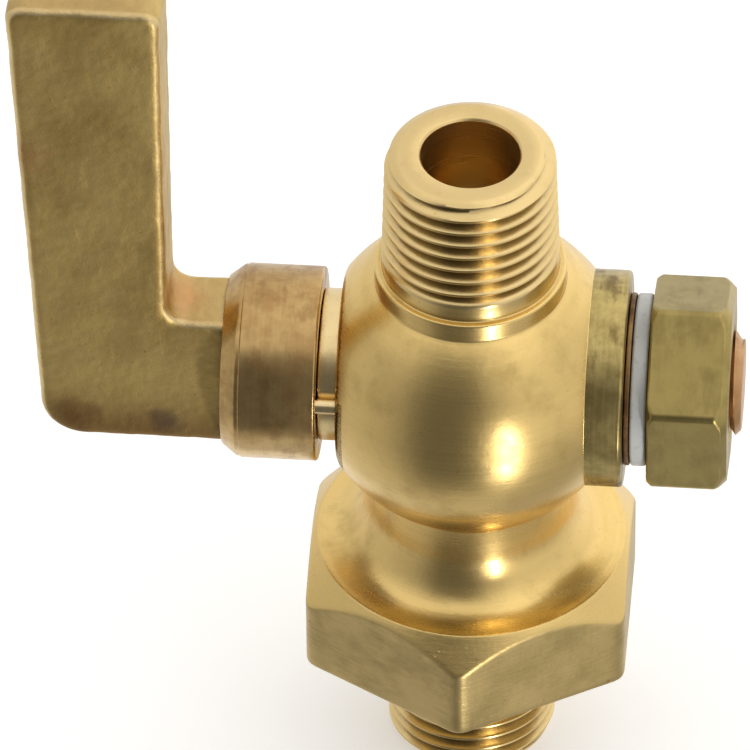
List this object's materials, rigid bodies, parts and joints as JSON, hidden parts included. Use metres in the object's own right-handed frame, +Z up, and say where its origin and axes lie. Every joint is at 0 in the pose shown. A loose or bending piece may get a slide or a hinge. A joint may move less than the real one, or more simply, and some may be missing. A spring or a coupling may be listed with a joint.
{
  "type": "plug valve",
  "caption": "Small brass ground-plug shut-off valve, male pipe thread at both ends, with an L-shaped quarter-turn lever and a nut-held tapered plug.",
  "frame": {"origin": "centre of the lower pipe end's face", "axes": "+Z up the flow axis to the upper pipe end, X along the tapered plug with the lever at -X and the nut at +X, -Y the side that the lever turns towards when the valve is closed"},
  "size_m": [0.0429, 0.022, 0.0574],
  "materials": {
    "body_brass": "satin, turned and milled from forged brass",
    "plug_brass": "bright turned brass",
    "lever_brass": "dull as-cast brass with brown stains",
    "pin_brass": "bright drawn brass",
    "washer_brass": "brown tarnished brass",
    "washer_nylon": "grey-white moulded nylon",
    "nut_brass": "satin milled brass"
  },
  "bodies": {
    "body": {"valve_body": "body_brass"},
    "plug": {"tapered_plug": "plug_brass", "lever_handle": "lever_brass", "stop_pin": "pin_brass", "key_washer": "washer_brass", "seal_washer": "washer_nylon", "retaining_nut": "nut_brass"}
  },
  "joints": [
    {"name": "plug_turn", "type": "hinge", "parent": "body", "child": "plug", "pos_m": [0, 0, 0.0286], "axis": [1, 0, 0], "range_deg": [0, 90]}
  ]
}
